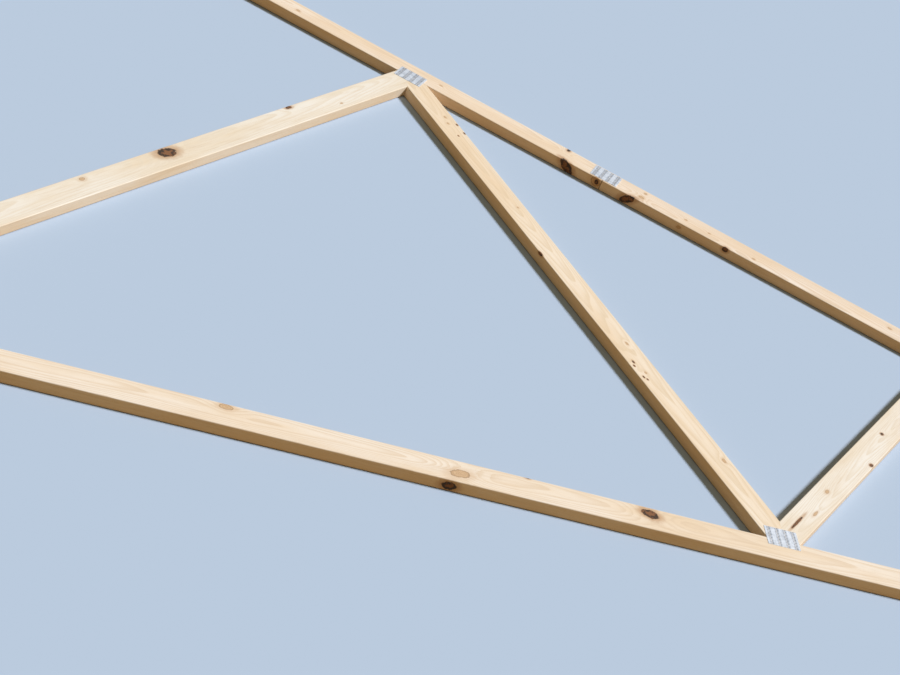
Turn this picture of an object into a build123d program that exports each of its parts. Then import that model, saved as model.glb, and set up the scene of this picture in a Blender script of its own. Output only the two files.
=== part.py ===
from build123d import *
import os
from math import atan, cos, degrees

# A wooden roof truss of the modified queen post kind, lying flat on its back face.
# Lengths are in millimetres. X runs along the span from mid-span, Y runs from the
# bottom chord to the peak, and Z is the thickness of the truss.

# Boards, sawn from planed 2x4 softwood
board_thickness = 38.1
board_depth = 88.9
eased_edge = 3.0

# Layout of the truss; every x is measured from mid-span, on one side
span = 12192.0
rise_per_run = 6 / 12
heel_butt_cut = 6.0
rafter_splice_x = 2468.0
upper_joint_x = 1780.0
outer_joint_x = 3650.0
lower_joint_x = 2790.0
slider_gap = 10.0

# Nail plates, punched from galvanised sheet and pressed into both faces
plate_gauge = 1.0
slot_length = 12.5
slot_width = 3.2
slot_column_spacing = 25.4
slot_row_spacing = 19.05
slot_margin = 5.0
small_plate_length = 101.6
small_plate_width = 76.2
outer_plate_length = 101.6
outer_plate_width = 114.3
peak_plate_length = 127.0
peak_plate_width = 101.6
heel_plate_length = 203.2
heel_plate_width = 101.6
mid_plate_length = 152.4
mid_plate_width = 127.0
upper_plate_shift = 7.0
outer_plate_drop = 6.0
lower_plate_lift = 9.0
chord_plate_drop = 16.0
heel_plate_inset = 100.0
peak_plate_inset = 5.0

# Values worked out from the sizes above
half_span = span / 2
slope = atan(rise_per_run)
rafter_rise = board_depth / cos(slope)
peak_rise = heel_butt_cut + half_span * rise_per_run + rafter_rise
middle = plate_gauge + board_thickness / 2
spare = 2 * board_depth


def at(x, rise):
    """The point x from mid-span and rise above the underside of the bottom chord."""
    return Vector(x, rise - peak_rise / 2, middle)


def under_rafter(x, drop=0.0):
    """The point at x on the underside of the top chord, or drop below it, square to it."""
    rise = heel_butt_cut + (half_span - abs(x)) * rise_per_run - drop / cos(slope)
    return at(x, rise)


def toward(start, end):
    """The unit vector from one point to another."""
    return (end - start).normalized()


def square_to(run):
    """The direction in the plane of the truss that is square to run, on its left."""
    return Vector(-run.Y, run.X, 0)


def crossing(start, run, other, other_run):
    """The point where two lines in the plane of the truss cross."""
    across = square_to(other_run)
    return start + run * ((other - start).dot(across) / run.dot(across))


def saw_cut(point, run, kept):
    """A cut through point along run, whose normal points away from the kept wood."""
    normal = square_to(run)
    if normal.dot(kept - point) > 0:
        normal = normal * -1
    return Plane(origin=point, z_dir=normal)


def make_board(name, start, end, cuts):
    """Saws one board whose centre line runs from start to end, with spare length to cut off."""
    run = toward(start, end)
    blank = Plane(origin=start - run * spare, x_dir=(0, 0, 1), z_dir=run)
    with BuildPart() as board:
        with BuildSketch(blank):
            RectangleRounded(board_thickness, board_depth, eased_edge)
        extrude(amount=(end - start).length + 2 * spare)
        for cut in cuts:
            split(bisect_by=cut, keep=Keep.BOTTOM)
    board.part.label = name
    export_step(board.part, f"parts/{name}.step")


def make_plates(name, centre, run, length, width):
    """Punches the nail plates of one joint, one for each face of the truss."""
    columns = int((length - slot_length - 2 * slot_margin) // slot_column_spacing) + 1
    rows = int((width - slot_width - 2 * slot_margin) // slot_row_spacing) + 1
    faces = {"back": 0.0, "front": plate_gauge + board_thickness}
    for face, height in faces.items():
        corner = Vector(centre.X, centre.Y, height)
        with BuildPart() as plate:
            with BuildSketch(Plane(origin=corner, x_dir=run, z_dir=(0, 0, 1))):
                Rectangle(length, width)
                with GridLocations(slot_column_spacing, slot_row_spacing, columns, rows):
                    Rectangle(slot_length, slot_width, mode=Mode.SUBTRACT)
            extrude(amount=plate_gauge)
        plate.part.label = f"{name}_{face}"
        export_step(plate.part, f"parts/{name}_{face}.step")


os.makedirs("parts", exist_ok=True)

level = Vector(1, 0, 0)
plumb = Vector(0, 1, 0)
chord_top = at(0, board_depth)
peak = under_rafter(0)
post_half = board_depth / 2

for side, hand in (("right", 1), ("left", -1)):
    down_slope = toward(peak, under_rafter(hand * half_span))
    out_of_roof = square_to(down_slope) * hand
    heel = under_rafter(hand * half_span)
    upper_joint = under_rafter(hand * upper_joint_x)
    outer_joint = under_rafter(hand * outer_joint_x)
    lower_joint = at(hand * lower_joint_x, board_depth)
    mid_joint = at(0, board_depth)

    # Bottom chord: butts on its other half at mid-span, scarfed under the top chord
    chord_start = at(0, board_depth / 2)
    chord_end = at(hand * half_span, board_depth / 2)
    make_board(f"bottom_chord_{side}", chord_start, chord_end, [
        saw_cut(chord_start, plumb, chord_end),
        saw_cut(chord_end, plumb, chord_start),
        saw_cut(heel, down_slope, chord_start),
    ])

    # Top chord: two boards with a square butt joint, plumb cuts at the peak and the heel
    rafter_peak = peak + out_of_roof * (board_depth / 2)
    rafter_heel = heel + out_of_roof * (board_depth / 2)
    splice_base = under_rafter(hand * rafter_splice_x)
    rafter_splice = splice_base + out_of_roof * (board_depth / 2)
    make_board(f"top_chord_upper_{side}", rafter_peak, rafter_splice, [
        saw_cut(peak, plumb, rafter_splice),
        saw_cut(rafter_splice, out_of_roof, rafter_peak),
    ])
    make_board(f"top_chord_lower_{side}", rafter_splice, rafter_heel, [
        saw_cut(rafter_splice, out_of_roof, rafter_heel),
        saw_cut(heel, plumb, rafter_splice),
    ])

    # Webs: each centre line ends where its joint lies on the edge of a chord
    outer_run = toward(lower_joint, outer_joint)
    middle_run = toward(lower_joint, upper_joint)
    inner_run = toward(mid_joint, upper_joint)
    lower_mitre = (outer_run + middle_run).normalized()
    upper_mitre = (inner_run + middle_run).normalized()
    make_board(f"outer_web_{side}", lower_joint, outer_joint, [
        saw_cut(lower_joint, level, outer_joint),
        saw_cut(lower_joint, lower_mitre, outer_joint),
        saw_cut(outer_joint, down_slope, lower_joint),
    ])
    make_board(f"middle_web_{side}", lower_joint, upper_joint, [
        saw_cut(lower_joint, level, upper_joint),
        saw_cut(lower_joint, lower_mitre, upper_joint),
        saw_cut(upper_joint, down_slope, lower_joint),
        saw_cut(upper_joint, upper_mitre, lower_joint),
    ])
    make_board(f"inner_web_{side}", mid_joint, upper_joint, [
        saw_cut(mid_joint, level, upper_joint),
        saw_cut(at(hand * post_half, board_depth), plumb, upper_joint),
        saw_cut(upper_joint, down_slope, mid_joint),
        saw_cut(upper_joint, upper_mitre, mid_joint),
    ])

    # Slider: a stiffener under the top chord, cut against the outer web and the bottom chord
    web_edge = outer_joint - square_to(outer_run) * hand * (board_depth / 2)
    slider_middle = under_rafter(hand * half_span, slider_gap + board_depth / 2)
    slider_top = crossing(slider_middle, down_slope, web_edge, outer_run)
    slider_foot = crossing(slider_middle, down_slope, lower_joint, level)
    make_board(f"slider_{side}", slider_top, slider_foot, [
        saw_cut(web_edge, outer_run, slider_foot),
        saw_cut(lower_joint, level, slider_top),
    ])

    # Plates: each is centred near the seam where its boards meet
    three_way_seam = crossing(outer_joint, down_slope, web_edge, outer_run)
    heel_plate_x = half_span - heel_plate_inset - heel_plate_length / 2
    make_plates(f"upper_plate_{side}", upper_joint + down_slope * upper_plate_shift,
                down_slope, small_plate_length, small_plate_width)
    make_plates(f"splice_plate_{side}", rafter_splice,
                down_slope, small_plate_length, small_plate_width)
    make_plates(f"outer_plate_{side}", three_way_seam - out_of_roof * outer_plate_drop,
                down_slope, outer_plate_length, outer_plate_width)
    make_plates(f"lower_plate_{side}", lower_joint + plumb * lower_plate_lift,
                level, small_plate_length, small_plate_width)
    make_plates(f"heel_plate_{side}", at(hand * heel_plate_x, board_depth - chord_plate_drop),
                level, heel_plate_length, heel_plate_width)

# King post: square on the bottom chord, cut to both slopes under the peak
with BuildPart() as king_post:
    with BuildSketch(Plane(origin=chord_top, x_dir=(0, 0, 1), z_dir=plumb)):
        RectangleRounded(board_thickness, board_depth, eased_edge)
    extrude(amount=(peak - chord_top).length)
    for hand in (1, -1):
        down_slope = toward(peak, under_rafter(hand * half_span))
        split(bisect_by=saw_cut(peak, down_slope, chord_top), keep=Keep.BOTTOM)
king_post.part.label = "king_post"
export_step(king_post.part, "parts/king_post.step")

peak_plate_top = peak_rise - peak_plate_length / 2 * rise_per_run - peak_plate_inset
make_plates("peak_plate", at(0, peak_plate_top - peak_plate_width / 2), level,
            peak_plate_length, peak_plate_width)
make_plates("mid_plate", at(0, board_depth - chord_plate_drop), level,
            mid_plate_length, mid_plate_width)
print("overall rise", round(peak_rise, 1), "slope in degrees", round(degrees(slope), 2))
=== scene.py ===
import math
import random

import bmesh
import bpy
from mathutils import Matrix, Vector


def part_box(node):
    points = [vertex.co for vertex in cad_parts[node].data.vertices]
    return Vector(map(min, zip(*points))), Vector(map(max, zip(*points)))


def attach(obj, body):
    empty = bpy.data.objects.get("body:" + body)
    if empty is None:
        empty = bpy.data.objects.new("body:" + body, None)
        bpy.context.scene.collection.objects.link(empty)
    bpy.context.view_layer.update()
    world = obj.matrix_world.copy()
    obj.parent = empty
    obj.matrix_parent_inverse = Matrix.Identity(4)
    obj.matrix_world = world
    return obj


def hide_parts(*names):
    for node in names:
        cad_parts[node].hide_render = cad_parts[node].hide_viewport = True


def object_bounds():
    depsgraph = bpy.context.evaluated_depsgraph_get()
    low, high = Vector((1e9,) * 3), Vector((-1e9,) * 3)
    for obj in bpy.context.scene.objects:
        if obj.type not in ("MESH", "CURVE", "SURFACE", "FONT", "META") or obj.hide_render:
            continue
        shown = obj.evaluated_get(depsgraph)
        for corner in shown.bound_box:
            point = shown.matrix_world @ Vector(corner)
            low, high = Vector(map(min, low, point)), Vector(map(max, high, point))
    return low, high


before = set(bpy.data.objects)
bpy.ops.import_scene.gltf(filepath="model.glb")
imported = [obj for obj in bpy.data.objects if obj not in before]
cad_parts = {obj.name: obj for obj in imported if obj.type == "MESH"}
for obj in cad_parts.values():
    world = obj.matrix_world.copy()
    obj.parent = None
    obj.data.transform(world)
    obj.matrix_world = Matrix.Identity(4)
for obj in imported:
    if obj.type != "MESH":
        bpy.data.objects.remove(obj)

# The truss lies on its back plates: X along the span, Y from the bottom chord to the
# peak, Z up through its thickness. Lengths are metres, and mm only within the wood.
cad_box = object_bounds()
truss_low, truss_high = (Vector(corner) for corner in cad_box)


# Camera: the photograph looks up at the face of the truss from 4.2 m below its bottom
# chord and 3.3 m off that face, so here it looks down on the face from the same place.
def aim_camera(place, right, down, lens):
    """Places the camera from the directions of its right and lower sides."""
    across = Vector(right).normalized()
    ahead = across.cross(Vector(down)).normalized()
    up = across.cross(ahead)
    data = bpy.data.cameras.new("photo_camera")
    data.lens = lens
    data.sensor_width = 36.0
    data.clip_start = 0.05
    data.clip_end = 200.0
    camera = bpy.data.objects.new("photo_camera", data)
    bpy.context.scene.collection.objects.link(camera)
    camera.matrix_world = Matrix.Translation(place) @ Matrix((across, up, -ahead)).transposed().to_4x4()
    bpy.context.scene.camera = camera


aim_camera(place=(0.286, truss_low.y - 4.2035, truss_high.z + 3.2689),
           right=(0.93546, -0.06339, 0.34769), down=(0.24461, -0.59396, -0.76641), lens=83.41)


# Studio: a plain pale floor under the back plates, one large soft lamp beyond the
# right-hand end of the truss, and an even pale world. The camera and gloss see floor
# and world in pale blue; the light that they bounce onto the wood is warmer.
class Term:
    """A socket in an expression; an operator adds its Math node."""

    def __init__(self, nodes, socket):
        self.nodes = nodes
        self.socket = socket

    def maths(self, operation, *others):
        return self.nodes.maths(operation, self, *others)

    def __add__(self, other):
        return self.maths("ADD", other)

    def __radd__(self, other):
        return self.nodes.maths("ADD", other, self)

    def __sub__(self, other):
        return self.maths("SUBTRACT", other)

    def __rsub__(self, other):
        return self.nodes.maths("SUBTRACT", other, self)

    def __mul__(self, other):
        return self.maths("MULTIPLY", other)

    def __rmul__(self, other):
        return self.nodes.maths("MULTIPLY", other, self)

    def __truediv__(self, other):
        return self.maths("DIVIDE", other)

    def part(self, axis):
        """One of the three numbers of a vector."""
        return self.nodes.add("ShaderNodeSeparateXYZ", {}, {"Vector": self}, axis)


class Nodes:
    """A node tree that is built by expressions."""

    def __init__(self, tree):
        self.tree = tree

    def add(self, kind, settings, values, output=0):
        """Adds a node: its settings first, then the values or links of its sockets."""
        node = self.tree.nodes.new(kind)
        for key, setting in settings.items():
            setattr(node, key, setting)
        for key, value in values.items():
            for item in value if isinstance(value, list) else [value]:
                if isinstance(item, Term):
                    self.tree.links.new(item.socket, node.inputs[key])
                else:
                    node.inputs[key].default_value = item
        return Term(self, node.outputs[output])

    def maths(self, operation, *terms):
        return self.add("ShaderNodeMath", {"operation": operation}, dict(enumerate(terms)))

    def point(self, x, y, z):
        return self.add("ShaderNodeCombineXYZ", {}, {"X": x, "Y": y, "Z": z})

    def mix(self, factor, first, second):
        """The first colour where factor is 0 and the second where it is 1."""
        return self.add("ShaderNodeMix", {"data_type": "RGBA"}, {0: factor, 6: first, 7: second}, 2)


class Shader(Nodes):
    """The nodes of one material."""

    def __init__(self, name):
        self.material = bpy.data.materials.new(name)
        self.material.use_nodes = True
        super().__init__(self.material.node_tree)
        self.surface = self.tree.nodes["Principled BSDF"]

    def vector(self, operation, *terms, output=0):
        settings = {"operation": operation}
        return self.add("ShaderNodeVectorMath", settings, dict(enumerate(terms)), output)

    def noise(self, vector, scale, detail, roughness, output="Fac"):
        return self.add("ShaderNodeTexNoise", {}, {
            "Vector": vector, "Scale": scale, "Detail": detail, "Roughness": roughness}, output)

    def stretched(self, vector, scale, shift=(0, 0, 0)):
        return self.add("ShaderNodeMapping", {}, {"Vector": vector, "Scale": scale, "Location": shift})

    def smooth(self, value, low, high):
        """0 at low and below, 1 at high and above."""
        return self.add("ShaderNodeMapRange", {"interpolation_type": "SMOOTHSTEP"}, {
            "Value": value, "From Min": low, "From Max": high})

    def bump(self, strength, distance, height):
        return self.add("ShaderNodeBump", {}, {"Strength": strength, "Distance": distance, "Height": height})

    def put(self, socket, value):
        if isinstance(value, Term):
            self.tree.links.new(value.socket, self.surface.inputs[socket])
        else:
            self.surface.inputs[socket].default_value = value


def seen(nodes, colour, bounce):
    """One colour for what the camera, gloss and glass see, and another for the light that bounces."""
    camera = nodes.add("ShaderNodeLightPath", {}, {}, "Is Camera Ray")
    gloss = nodes.add("ShaderNodeLightPath", {}, {}, "Is Glossy Ray")
    glass = nodes.add("ShaderNodeLightPath", {}, {}, "Is Transmission Ray")
    shown = camera.maths("MAXIMUM", gloss).maths("MAXIMUM", glass)
    return nodes.mix(shown, (*bounce, 1), (*colour, 1))


def add_floor(size, drop, colour, bounce):
    """Lays the floor a hair below the truss."""
    mesh = bpy.data.meshes.new("floor")
    shape = bmesh.new()
    bmesh.ops.create_grid(shape, x_segments=1, y_segments=1, size=size / 2)
    shape.to_mesh(mesh)
    shape.free()
    paint = Shader("floor_paint")
    paint.put("Base Color", seen(paint, colour, bounce))
    paint.put("Roughness", 1.0)
    paint.put("Specular IOR Level", 0.0)
    mesh.materials.append(paint.material)
    floor = bpy.data.objects.new("floor", mesh)
    bpy.context.scene.collection.objects.link(floor)
    floor.location.z = truss_low.z - drop


def add_lamp(name, source, spread, power):
    """Lights the truss softly and evenly from one direction."""
    data = bpy.data.lights.new(name, "SUN")
    data.angle = spread
    data.energy = power
    lamp = bpy.data.objects.new(name, data)
    bpy.context.scene.collection.objects.link(lamp)
    lamp.rotation_euler = Vector(source).to_track_quat("Z", "Y").to_euler()


def add_world(colour, bounce):
    """Surrounds the truss with even light."""
    world = bpy.data.worlds.new("studio_air")
    world.use_nodes = True
    air = Nodes(world.node_tree)
    air.tree.links.new(seen(air, colour, bounce).socket, air.tree.nodes["Background"].inputs["Color"])
    bpy.context.scene.world = world


add_floor(size=400.0, drop=0.0005, colour=(0.50, 0.62, 0.81), bounce=(0.40, 0.25, 0.09))
add_lamp("side_lamp", source=(1.0, 0.08, 1.15), spread=math.radians(12), power=3.3)
add_world(colour=(0.50, 0.61, 0.77), bounce=(0.20, 0.17, 0.11))
bpy.context.scene.view_settings.view_transform = "Standard"


# Bottom chord: planed softwood 2x4s that butt at mid-span, with eased edges and sawn
# ends. Each board keeps its solid shape; its wood is one block that the saw has cut,
# so rings and knots on a face carry on round the edges and over the ends.
class Knots:
    """How far a point is from the nearest of some knots, 1 at its rim, and their swelling.

    A knot is its place along, across and through the board from the start of its centre
    line, then how long, wide and deep it is, in mm, and how far it slants along the board.
    """

    def __init__(self, wood, board, ragged, knots):
        uneven, swelling, swell_fall = 0.7, 0.3, -0.16
        self.edge = None
        self.swell = 0.0
        for along, across, through, long, wide, deep, slant in knots:
            away = wood.vector("SUBTRACT", board, (along, across, through))
            leaning = (2 / long, slant * 2 / long, slant * 2 / long)
            level = wood.vector("DOT_PRODUCT", away, leaning, output=1)
            apart = wood.vector("MULTIPLY", away, (0, 2 / wide, 2 / deep))
            square = wood.vector("DOT_PRODUCT", apart, apart, output=1) + level * level
            reach = square.maths("SQRT") + ragged * uneven
            bulge = (reach * reach * swell_fall).maths("EXPONENT") * (swelling * wide)
            self.swell = bulge + self.swell
            self.edge = reach if self.edge is None else self.edge.maths("MINIMUM", reach)


def make_wood(name, start, end, pith, lean, ring_width, seed, early, late, sound, dead, square_cut=None):
    """The wood of a board from start to end: mm along, across and through it from start."""
    wood = Shader(name)
    turn = math.atan2(end.y - start.y, end.x - start.x)
    place = wood.add("ShaderNodeTexCoord", {}, {}, "Object")
    board = wood.add("ShaderNodeMapping", {"vector_type": "TEXTURE"}, {
        "Vector": place, "Location": start, "Rotation": (0, 0, turn), "Scale": (0.001, 0.001, 0.001)})
    ragged = wood.noise(board, 0.07, 3.0, 0.6) - 0.5
    sound_knots = Knots(wood, board, ragged, sound)
    dead_knots = Knots(wood, board, ragged, dead)

    # Growth rings: the distance from a pith that wanders and leans along the board
    wander_across, wander_through, uneven_years = 50.0, 30.0, 5.0
    slow = wood.stretched(board, (0.0009, 0.006, 0.006), (seed, 0, 0))
    wander = wood.noise(slow, 1.0, 2.0, 0.5, "Color")
    across = board.part(1) - pith[0] + (wander.part(0) - 0.5) * wander_across
    through = board.part(2) - pith[1] + board.part(0) * lean + (wander.part(1) - 0.5) * wander_through
    radius = (across * across + through * through).maths("SQRT") + sound_knots.swell + dead_knots.swell
    year = wood.point(radius * 0.03, seed, 0.0)
    ring = (radius / ring_width + wood.noise(year, 1.0, 2.0, 0.5) * uneven_years).maths("FRACT")
    summer = wood.smooth(ring, 0.3, 0.92) * (1 - wood.smooth(ring, 0.93, 1.0))

    # Fibres run along the board, in streaks of two widths, under broad pale and warm patches
    fibre = wood.noise(wood.stretched(board, (0.005, 0.42, 0.42), (0, seed, 0)), 1.0, 4.0, 0.65)
    hair = wood.noise(wood.stretched(board, (0.035, 1.7, 1.7)), 1.0, 2.0, 0.6)
    patch = wood.noise(wood.stretched(board, (0.0022, 0.012, 0.012), (seed, 0, 0)), 1.0, 3.0, 0.55)
    streak = wood.noise(wood.stretched(board, (0.006, 0.11, 0.11), (0, seed, 0)), 1.0, 3.0, 0.6)
    pale = tuple(min(1.0, tint * lift) for tint, lift in zip(early, (1.02, 1.05, 1.10)))
    warm = tuple(tint * drop for tint, drop in zip(early, (0.95, 0.88, 0.78)))
    honey, tan, umber = (0.68, 0.49, 0.30, 1), (0.60, 0.42, 0.26, 1), (0.56, 0.39, 0.24, 1)
    colour = wood.mix(wood.smooth(patch, 0.3, 0.7), (*pale, 1), (*warm, 1))
    colour = wood.mix(summer * (fibre + 0.15), colour, (*late, 1))
    colour = wood.mix(wood.smooth(streak, 0.48, 0.75) * 0.26, colour, honey)
    colour = wood.mix(wood.smooth(fibre, 0.5, 0.85) * 0.25, colour, tan)
    colour = wood.mix(wood.smooth(hair, 0.56, 0.74) * 0.3, colour, umber)

    # Sawn ends: the pores are open, so the wood is darker and its rings are plain
    normal = wood.add("ShaderNodeTexCoord", {}, {}, "Normal")
    facing = wood.vector("DOT_PRODUCT", normal, (math.cos(turn), math.sin(turn), 0), output=1)
    sawn = wood.smooth(facing.maths("ABSOLUTE"), 0.2, 0.6)
    open_pores, end_rings = (0.58, 0.40, 0.23, 1), (0.33, 0.18, 0.08, 1)
    colour = wood.mix(sawn * 0.5, colour, open_pores)
    colour = wood.mix(sawn * summer * 0.6, colour, end_rings)
    relief = summer * 0.5 + fibre * 0.4
    rough = 0.6 + hair * 0.16 - summer * 0.08

    # Sound knots grew with the wood: brown, ringed and dark at the rim
    speckle = wood.noise(board, 0.45, 3.0, 0.65)
    if sound:
        knot_light, knot_dark = (0.76, 0.54, 0.32, 1), (0.46, 0.24, 0.11, 1)
        tinged, knot_rim = (0.68, 0.44, 0.24, 1), (0.20, 0.09, 0.04, 1)
        inside = 1 - wood.smooth(sound_knots.edge, 0.85, 1.0)
        halo = 1 - wood.smooth(sound_knots.edge, 0.9, 2.2)
        circles = wood.smooth((sound_knots.edge * 4.0 + ragged).maths("FRACT"), 0.3, 0.9)
        heart = wood.mix(circles * 0.6 + speckle * 0.3, knot_light, knot_dark)
        colour = wood.mix(halo * 0.4, colour, tinged)
        colour = wood.mix(inside * 0.8, colour, heart)
        colour = wood.mix(inside * wood.smooth(sound_knots.edge, 0.7, 0.96) * 0.75, colour, knot_rim)
        relief = relief + inside * speckle

    # Dead knots kept their bark: nearly black, with resin in the wood round them
    if dead:
        red_bark, black_bark = (0.24, 0.10, 0.04, 1), (0.028, 0.014, 0.008, 1)
        resin = (0.50, 0.26, 0.11, 1)
        inside = 1 - wood.smooth(dead_knots.edge, 0.86, 1.0)
        halo = 1 - wood.smooth(dead_knots.edge, 0.9, 2.0)
        crust = dead_knots.edge * 0.8 + ragged * 2.4 + (speckle - 0.5) * 1.0
        bark = wood.mix(wood.smooth(crust, 0.2, 0.62), red_bark, black_bark)
        colour = wood.mix(halo * 0.65, colour, resin)
        colour = wood.mix(inside * 0.95, colour, bark)
        relief = relief + inside * speckle * 2.0
        rough = rough + inside * 0.1

    # A square saw cut leaves a dark, furry arris
    if square_cut:
        frayed = (0.20, 0.12, 0.06, 1)
        from_cut = (board.part(0) - square_cut).maths("ABSOLUTE") + (speckle - 0.5) * 1.5
        colour = wood.mix((1 - wood.smooth(from_cut, 1.0, 2.6)) * 0.7, colour, frayed)
    wood.put("Base Color", colour)
    wood.put("Roughness", rough)
    wood.put("Normal", wood.bump(0.4, 0.0004, relief))
    wood.put("Specular IOR Level", 0.3)
    return wood.material


def dress_board(node, start, end, **growth):
    """Gives a board its wood, laid along the line from start to end."""
    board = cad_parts[node]
    board.data.materials.clear()
    board.data.materials.append(make_wood(f"wood_{node}", start, end, **growth))


def scatter_knots(dice, low, high, gap):
    """Knots between two places along a board, at whorls about gap apart, as branches grow."""
    knots = []
    along = low + dice.uniform(0.2, 0.8) * gap
    while along < high:
        long = dice.uniform(10, 42)
        knots.append((along, dice.uniform(-46, 46), dice.uniform(-8, 19),
                      long, long * dice.uniform(0.5, 0.8), 70, dice.uniform(-0.5, 0.5)))
        along += gap * dice.uniform(0.35, 1.6)
    return knots


# The centre lines lie half way up the truss, and a board is 88.9 mm deep. Knots on the
# front face are 19 mm through the board, and those on its underside 44 mm below centre.
middle = (truss_low.z + truss_high.z) / 2
board_half = 0.04445
mid_span = Vector((0.0, truss_low.y + board_half, middle))
dress_board("bottom_chord_right", mid_span, Vector((truss_high.x, mid_span.y, middle)),
            pith=(8, -74), lean=0.010, ring_width=2.9, seed=3.1,
            early=(0.96, 0.84, 0.71), late=(0.83, 0.66, 0.49), sound=[
                (1169, 31, 19, 42, 22, 50, 0), (1819, -9, 19, 60, 36, 70, -0.5),
                (3420, -20, 19, 26, 18, 60, 0), (4210, 12, 19, 34, 24, 60, 0),
                (5150, -30, 10, 30, 22, 60, 0)], dead=[
                (2378, 17, 19, 52, 38, 70, 0.3), (1791, -44, -2, 46, 22, 28, 0),
                (2017, 43, 10, 20, 10, 22, 0), (520, 20, 19, 22, 16, 50, 0)])
dice = random.Random(21)
dress_board("bottom_chord_left", mid_span, Vector((truss_low.x, mid_span.y, middle)),
            pith=(-14, 82), lean=-0.008, ring_width=2.6, seed=14.2,
            early=(0.92, 0.79, 0.64), late=(0.76, 0.57, 0.38),
            sound=scatter_knots(dice, 300, 5900, 620), dead=scatter_knots(dice, 900, 5600, 1700))


# Top chord: two planed 2x4s on each side, butted square at the splice 2.5 m from
# mid-span, with plumb cuts at the peak and the heel. It stands on the bottom chord's
# scarf. Both boards of a side take their knots' places from the peak.
roof_slope = math.atan(0.5)
heel_butt = 0.006
splice_x = 2.468


def chord_underside(x):
    """The point at x on the underside of the top chord."""
    return Vector((x, truss_low.y + heel_butt + (truss_high.x - abs(x)) * math.tan(roof_slope), middle))


square_cut = 1000 * (splice_x / math.cos(roof_slope) + board_half * math.tan(roof_slope))
to_centre = Vector((0, board_half / math.cos(roof_slope), 0))
for side, hand in (("right", 1), ("left", -1)):
    rafter_top = chord_underside(0) + to_centre
    rafter_foot = chord_underside(hand * truss_high.x) + to_centre
    if side == "right":
        upper_sound = [
            (1545, -9, 15, 18, 12, 60, 0), (430, 22, 19, 30, 22, 70, 0), (980, -28, 10, 24, 18, 60, 0),
            (2120, 6, 19, 13, 9, 50, 0), (2761, -44, 3, 38, 14, 36, 0.2)]
        upper_dead = [
            (2621, 36, 10, 16, 24, 34, 0), (2648, -44, 0, 46, 30, 52, 0.7), (2765, -44, 4, 17, 10, 20, 0.2)]
        lower_sound = [
            (2925, -15, 19, 20, 15, 40, 0), (2929, 23, 19, 11, 14, 34, 0), (3096, -4, 19, 11, 9, 40, 0),
            (3188, -10, 19, 10, 8, 40, 0), (3087, -44, 1, 16, 10, 12, 0), (3362, -20, 19, 14, 10, 40, 0),
            (3875, 8, 19, 16, 12, 40, 0), (4700, -12, 19, 34, 24, 70, 0), (5600, 20, 19, 28, 20, 60, 0)]
        lower_dead = [
            (2885, -44, 2, 44, 28, 40, -0.8), (3262, -44, 11, 24, 16, 20, 0), (4320, 34, 12, 22, 16, 40, 0)]
    else:
        dice = random.Random(33)
        upper_sound = scatter_knots(dice, 200, 2700, 480)
        upper_dead = scatter_knots(dice, 500, 2600, 1300)
        lower_sound = scatter_knots(dice, 2900, 6600, 560)
        lower_dead = scatter_knots(dice, 3100, 6500, 1500)
    dress_board(f"top_chord_upper_{side}", rafter_top, rafter_foot,
                pith=(10 * hand, -96), lean=0.006, ring_width=2.3, seed=7.7 * hand,
                early=(0.97, 0.84, 0.71), late=(0.83, 0.64, 0.46),
                sound=upper_sound, dead=upper_dead, square_cut=square_cut)
    dress_board(f"top_chord_lower_{side}", rafter_top, rafter_foot,
                pith=(-24, 88 * hand), lean=-0.007, ring_width=2.6, seed=19.4 * hand,
                early=(0.96, 0.83, 0.71), late=(0.80, 0.61, 0.43),
                sound=lower_sound, dead=lower_dead, square_cut=square_cut)


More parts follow.
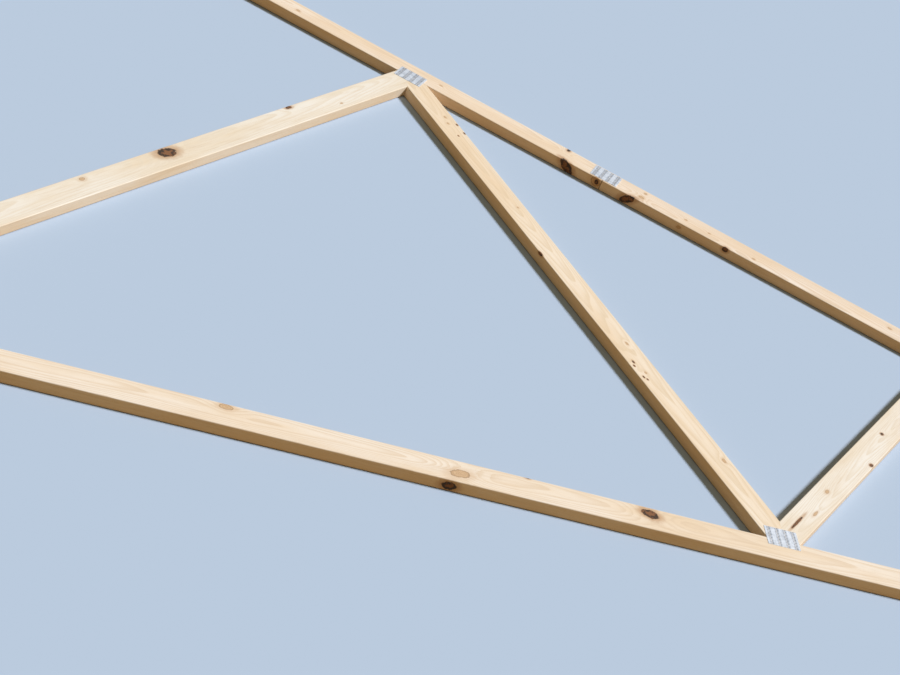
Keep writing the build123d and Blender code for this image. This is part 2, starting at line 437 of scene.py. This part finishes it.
# Webs: three planed 2x4s on each side, mitred to each other where two meet on a chord.
# The inner one rises to the top chord, the middle one drops back to the bottom chord,
# and the outer one rises again to the rafter's lower half. Nail plates hold their ends.
upper_joint_x = 1.780
lower_joint_x = 2.790
outer_joint_x = 3.650
chord_top = Vector((0.0, truss_low.y + 2 * board_half, middle))
for side, hand in (("right", 1), ("left", -1)):
    upper_joint = chord_underside(hand * upper_joint_x)
    outer_joint = chord_underside(hand * outer_joint_x)
    lower_joint = Vector((hand * lower_joint_x, chord_top.y, middle))
    if side == "right":
        inner_sound = [
            (620, -18, 19, 30, 20, 60, 0), (1130, 26, 19, 22, 15, 50, 0), (2320, -20, 19, 12, 8, 40, 0)]
        inner_dead = [(1490, 19, 19, 78, 44, 80, 0.15), (2103, 37, 12, 32, 15, 34, 0)]
        middle_sound = [
            (250, 12, 19, 12, 9, 40, 0), (287, 3, 19, 12, 9, 40, 0), (1585, -8, 19, 12, 8, 40, 0),
            (1450, 10, 19, 16, 9, 40, 0), (760, 12, 19, 10, 7, 40, 0), (1980, 20, 19, 18, 12, 50, 0)]
        middle_dead = [
            (359, 5, 19, 8, 6, 20, 0), (294, 37, 19, 11, 8, 40, 0), (344, 39, 19, 12, 8, 40, 0),
            (1000, -44, 17, 24, 10, 12, 0), (1534, -22, 19, 14, 8, 34, 0), (1551, -30, 19, 10, 7, 30, 0),
            (1603, -28, 19, 11, 7, 30, 0), (1615, -21, 19, 9, 6, 30, 0)]
        outer_sound = [
            (212, -15, 19, 34, 8, 30, 0), (346, 5, 19, 22, 12, 40, 0), (980, -16, 19, 20, 14, 50, 0)]
        outer_dead = [
            (119, 6, 19, 94, 8, 14, 0), (616, -37, 17, 17, 13, 36, 0), (811, 6, 19, 15, 12, 40, 0)]
    else:
        dice = random.Random(45)
        inner_sound = scatter_knots(dice, 200, 2600, 520)
        inner_dead = scatter_knots(dice, 600, 2500, 1400)
        middle_sound = scatter_knots(dice, 150, 2200, 460)
        middle_dead = scatter_knots(dice, 400, 2100, 1100)
        outer_sound = scatter_knots(dice, 100, 1300, 420)
        outer_dead = scatter_knots(dice, 300, 1300, 800)
    dress_board(f"inner_web_{side}", chord_top, upper_joint,
                pith=(18 * hand, -62), lean=0.014, ring_width=3.4, seed=5.3 * hand,
                early=(0.94, 0.87, 0.77), late=(0.87, 0.76, 0.62), sound=inner_sound, dead=inner_dead)
    dress_board(f"middle_web_{side}", upper_joint, lower_joint,
                pith=(-6, -88 * hand), lean=0.016, ring_width=2.8, seed=11.9 * hand,
                early=(0.96, 0.82, 0.66), late=(0.83, 0.66, 0.46), sound=middle_sound, dead=middle_dead)
    dress_board(f"outer_web_{side}", lower_joint, outer_joint,
                pith=(-12, 70 * hand), lean=0.018, ring_width=3.2, seed=23.6 * hand,
                early=(0.96, 0.89, 0.80), late=(0.86, 0.75, 0.61), sound=outer_sound, dead=outer_dead)


# Sliders: a planed 2x4 under each top chord's foot, cut to fit between the outer web
# and the bottom chord, where it stiffens the rafter. It stands 10 mm off the rafter.
slider_gap = 0.010
slider_foot_x = 5.900
slider_drop = Vector((0, -(slider_gap + board_half) / math.cos(roof_slope), 0))
for side, hand in (("right", 1), ("left", -1)):
    dice = random.Random(57 + hand)
    dress_board(f"slider_{side}", chord_underside(hand * outer_joint_x) + slider_drop,
                chord_underside(hand * slider_foot_x) + slider_drop,
                pith=(15, 78 * hand), lean=0.009, ring_width=2.7, seed=29.0 * hand,
                early=(0.92, 0.79, 0.63), late=(0.76, 0.57, 0.38),
                sound=scatter_knots(dice, 100, 2200, 560), dead=scatter_knots(dice, 300, 2100, 1500))


# King post: one planed 2x4 stood square on the bottom chord and cut to both slopes
# under the peak. A large plate on each face holds it at either end.
dice = random.Random(64)
dress_board("king_post", chord_top, chord_top + Vector((0, 1, 0)),
            pith=(10, -80), lean=-0.009, ring_width=2.7, seed=31.5,
            early=(0.92, 0.80, 0.65), late=(0.77, 0.58, 0.39),
            sound=scatter_knots(dice, 200, 2900, 540), dead=scatter_knots(dice, 500, 2700, 1600))


# Nail plates: 1 mm galvanised sheet, one on each face of every joint. A press punches
# slots through the sheet and bends two teeth down out of each, which are then driven
# into the wood; the bent roots show at both ends of every slot.
def make_zinc(name, dark, light):
    """Dull zinc with faint crystals, scuffed by the press."""
    zinc = Shader(name)
    place = zinc.add("ShaderNodeTexCoord", {}, {}, "Object")
    crystal = zinc.add("ShaderNodeTexVoronoi", {}, {"Vector": place, "Scale": 130.0}, "Color").part(0)
    smear = zinc.noise(place, 35.0, 3.0, 0.6)
    scuff = zinc.noise(place, 420.0, 2.0, 0.6)
    colour = zinc.mix(crystal * 0.6 + smear * 0.4, (*dark, 1), (*light, 1))
    zinc.put("Base Color", zinc.mix(zinc.smooth(scuff, 0.6, 0.8) * 0.3, colour, (*dark, 1)))
    zinc.put("Metallic", 0.6)
    zinc.put("Roughness", 0.42 + smear * 0.2 + crystal * 0.08)
    zinc.put("Normal", zinc.bump(0.15, 0.0002, crystal * 0.5 + scuff * 0.5))
    return zinc.material


class Press(Nodes):
    """The node tree that punches a nail plate, flat on the wood with its teeth below."""

    sizes = "Length", "Width", "Gauge", "Slot Length", "Slot Width", "Column Spacing", "Row Spacing"
    counts = "Columns", "Rows"
    finishes = "Sheet Material", "Tooth Material"

    def __init__(self):
        super().__init__(bpy.data.node_groups.new("punched_nail_plate", "GeometryNodeTree"))
        face = self.tree.interface
        face.new_socket("Geometry", in_out="OUTPUT", socket_type="NodeSocketGeometry")
        face.new_socket("Geometry", in_out="INPUT", socket_type="NodeSocketGeometry")
        self.keys = {}
        for names, kind in ((self.sizes, "Float"), (self.counts, "Int"), (self.finishes, "Material")):
            for name in names:
                socket = face.new_socket(name, in_out="INPUT", socket_type=f"NodeSocket{kind}")
                self.keys[name] = socket.identifier
        ports = self.tree.nodes.new("NodeGroupInput").outputs
        self.given = {name: Term(self, ports[name]) for name in self.keys}
        places = self.lay_out()
        plate = self.punch(places)
        teeth = self.bend_teeth(places)
        whole = self.join(plate, teeth)
        whole = self.add("GeometryNodeRealizeInstances", {}, {"Geometry": whole})
        self.tree.links.new(whole.socket, self.tree.nodes.new("NodeGroupOutput").inputs["Geometry"])

    def join(self, *shapes):
        return self.add("GeometryNodeJoinGeometry", {}, {"Geometry": list(shapes)})

    def rectangle(self, width, height):
        return self.add("GeometryNodeCurvePrimitiveQuadrilateral", {}, {"Width": width, "Height": height})

    def finish(self, shape, material):
        return self.add("GeometryNodeSetMaterial", {}, {
            "Geometry": shape, "Material": self.given[material]})

    def lay_out(self):
        """The middles of the slots."""
        given = self.given
        return self.add("GeometryNodeMeshGrid", {}, {
            "Size X": (given["Columns"] - 1) * given["Column Spacing"],
            "Size Y": (given["Rows"] - 1) * given["Row Spacing"],
            "Vertices X": given["Columns"], "Vertices Y": given["Rows"]})

    def punch(self, places):
        """The sheet: its outline and the slots, filled and given its gauge."""
        given = self.given
        sheet = self.rectangle(given["Length"], given["Width"])
        slot = self.rectangle(given["Slot Length"], given["Slot Width"])
        slots = self.add("GeometryNodeInstanceOnPoints", {}, {"Points": places, "Instance": slot})
        slots = self.add("GeometryNodeRealizeInstances", {}, {"Geometry": slots})
        under = self.add("GeometryNodeFillCurve", {}, {"Curve": self.join(sheet, slots)})
        raised = self.add("GeometryNodeExtrudeMesh", {}, {
            "Mesh": under, "Offset": self.point(0.0, 0.0, 1.0), "Offset Scale": given["Gauge"],
            "Individual": False})
        turned = self.add("GeometryNodeFlipFaces", {}, {"Mesh": under})
        plate = self.add("GeometryNodeMergeByDistance", {}, {
            "Geometry": self.join(raised, turned), "Distance": 0.00001})
        return self.finish(plate, "Sheet Material")

    def bend_teeth(self, places):
        """The teeth: a strip that bends down from each end of a slot into the wood."""
        given = self.given
        gauge = given["Gauge"]
        root = given["Slot Length"] * 0.5
        bent = root - given["Slot Length"] * 0.46
        strip = self.rectangle(given["Slot Width"] * 0.94, gauge * 0.9)
        line = self.add("GeometryNodeCurvePrimitiveBezierSegment", {}, {
            "Resolution": 4,
            "Start": self.point(root, 0.0, gauge * 0.5),
            "Start Handle": self.point(bent, 0.0, gauge * 0.45),
            "End Handle": self.point(bent, 0.0, gauge * -0.5),
            "End": self.point(bent, 0.0, gauge * -3.0)})
        tooth = self.add("GeometryNodeCurveToMesh", {}, {
            "Curve": line, "Profile Curve": strip, "Fill Caps": True})
        other = self.add("GeometryNodeTransform", {}, {"Geometry": tooth, "Rotation": (0.0, 0.0, math.pi)})
        pair = self.finish(self.join(tooth, other), "Tooth Material")
        return self.add("GeometryNodeInstanceOnPoints", {}, {"Points": places, "Instance": pair})

    def make(self, name, inputs, place):
        """One plate as a plain mesh, put in its place."""
        blank = bpy.data.objects.new(name, bpy.data.meshes.new(name))
        bpy.context.scene.collection.objects.link(blank)
        modifier = blank.modifiers.new("press", "NODES")
        modifier.node_group = self.tree
        for key, value in inputs.items():
            modifier[self.keys[key]] = value
        ready = blank.evaluated_get(bpy.context.evaluated_depsgraph_get())
        mesh = bpy.data.meshes.new_from_object(ready)
        blank.modifiers.remove(modifier)
        mesh.transform(place)
        mesh.update()
        blank.data = mesh
        return blank


press = Press()
sheet_zinc = make_zinc("galvanised_sheet", (0.60, 0.61, 0.63), (0.82, 0.83, 0.85))
# The teeth are painted far darker than the sheet: this is painted shade for the shadow down in the slots.
tooth_zinc = make_zinc("sheared_zinc", (0.20, 0.21, 0.23), (0.34, 0.35, 0.38))
gauge = 0.001
slot_length, slot_width = 0.0125, 0.0032
column_spacing, row_spacing = 0.0254, 0.00635
rows_to_each_solid_row = 3
margin = 0.005

# Each plate's length and width, and the slope that it lies along
plate_sizes = {
    "upper_plate": (0.1016, 0.0762, roof_slope),
    "splice_plate": (0.1016, 0.0762, roof_slope),
    "outer_plate": (0.1016, 0.1143, roof_slope),
    "lower_plate": (0.1016, 0.0762, 0.0),
    "heel_plate": (0.2032, 0.1016, 0.0),
    "peak_plate": (0.1270, 0.1016, 0.0),
    "mid_plate": (0.1524, 0.1270, 0.0),
}
for kind, (length, width, slope) in plate_sizes.items():
    sides = (("", 1),) if kind in ("peak_plate", "mid_plate") else (("_right", 1), ("_left", -1))
    columns = int((length - slot_length - 2 * margin) // column_spacing) + 1
    solid_rows = int((width - slot_width - 2 * margin) // (rows_to_each_solid_row * row_spacing)) + 1
    for side, hand in sides:
        for face in ("front", "back"):
            node = f"{kind}{side}_{face}"
            low, high = (Vector(corner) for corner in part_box(node))
            seat = Vector(((low.x + high.x) / 2, (low.y + high.y) / 2, low.z))
            lie = Matrix.Rotation(-slope * hand, 4, "Z")
            if face == "back":
                seat.z = high.z
                lie = lie @ Matrix.Rotation(math.pi, 4, "X")
            plate = press.make(f"punched_{node}", {
                "Length": length, "Width": width, "Gauge": gauge, "Slot Length": slot_length,
                "Slot Width": slot_width, "Column Spacing": column_spacing, "Row Spacing": row_spacing,
                "Columns": columns, "Rows": rows_to_each_solid_row * solid_rows,
                "Sheet Material": sheet_zinc, "Tooth Material": tooth_zinc},
                Matrix.Translation(seat) @ lie)
            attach(plate, "root")
            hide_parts(node)
